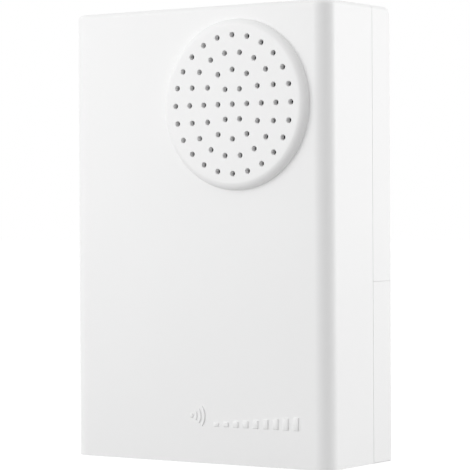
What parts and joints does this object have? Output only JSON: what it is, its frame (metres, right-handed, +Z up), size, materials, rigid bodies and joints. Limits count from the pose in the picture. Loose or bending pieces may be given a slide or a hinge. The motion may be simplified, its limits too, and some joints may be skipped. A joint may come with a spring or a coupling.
{
  "type": "doorbell chime",
  "caption": "Wall door chime: slim white moulded case with a raised round pierced speaker grille, loudspeaker and sound board inside, and a cell bay behind a sliding rear cover.",
  "frame": {"origin": "on the base, centred on the case's width and depth", "axes": "+Z up, +Y towards the wall, +X to the right as seen from the front, which faces -Y"},
  "size_m": [0.082, 0.0342, 0.12],
  "materials": {
    "abs_white": "moulded ABS with a fine satin texture",
    "foam": "closed-cell foam",
    "rubber_black": "soft rubber",
    "paper_black": "pressed paper pulp",
    "cloth_amber": "treated cotton cloth",
    "former_brown": "wound paper tube",
    "copper": "enamelled wire",
    "steel_plated": "zinc-plated sheet and turned steel",
    "ferrite": "sintered ferrite",
    "laminate_brown": "phenolic laminate",
    "board_tan": "phenolic board",
    "tinned_brass": "tinned",
    "screw_steel": "zinc-plated",
    "terminal_green": "moulded polyamide",
    "sleeve_black": "shrunk sleeve",
    "epoxy_black": "moulded epoxy",
    "disc_ochre": "dipped ceramic",
    "resistor_beige": "lacquered",
    "spring_nickel": "nickel-plated spring steel",
    "cell_wrap": "printed sleeve over a steel can",
    "lead_red": "soft PVC",
    "lead_black": "soft PVC"
  },
  "bodies": {
    "housing": {"front_cover": "abs_white", "rear_cover": "abs_white", "case_screws": "screw_steel", "speaker_gasket": "foam", "speaker_edge": "rubber_black", "speaker_basket": "steel_plated", "speaker_spider": "cloth_amber", "speaker_top_plate": "steel_plated", "speaker_magnet": "ferrite", "speaker_yoke": "steel_plated", "speaker_terminal_strip": "laminate_brown", "speaker_tags": "tinned_brass", "speaker_retainer": "abs_white", "retainer_screws": "screw_steel", "circuit_board": "board_tan", "board_screws": "screw_steel", "terminal_block": "terminal_green", "terminal_clamps": "tinned_brass", "terminal_screws": "screw_steel", "capacitors": "sleeve_black", "sound_chip": "epoxy_black", "amplifier_chip": "epoxy_black", "transistors": "epoxy_black", "resistors": "resistor_beige", "disc_capacitors": "disc_ochre", "cell_lower": "cell_wrap", "cell_middle": "cell_wrap", "cell_upper": "cell_wrap", "battery_contact_negative": "spring_nickel", "battery_contact_positive": "spring_nickel", "battery_link_left": "spring_nickel", "battery_link_right": "spring_nickel", "battery_lead_black": "lead_black", "battery_lead_red": "lead_red", "speaker_lead_red": "lead_red", "speaker_lead_black": "lead_black"},
    "battery_cover": {"battery_cover": "abs_white"},
    "diaphragm": {"speaker_cone": "paper_black", "dust_cap": "paper_black", "voice_coil_former": "former_brown", "voice_coil_winding": "copper"}
  },
  "joints": [
    {"name": "battery_cover_slide", "type": "slide", "parent": "housing", "child": "battery_cover", "axis": [0, 0, -1], "range_m": [0, 0.042]},
    {"name": "speaker_cone_travel", "type": "slide", "parent": "housing", "child": "diaphragm", "axis": [0, 1, 0], "range_m": [-0.0004, 0.0004], "stiffness_N_per_m": 200}
  ]
}
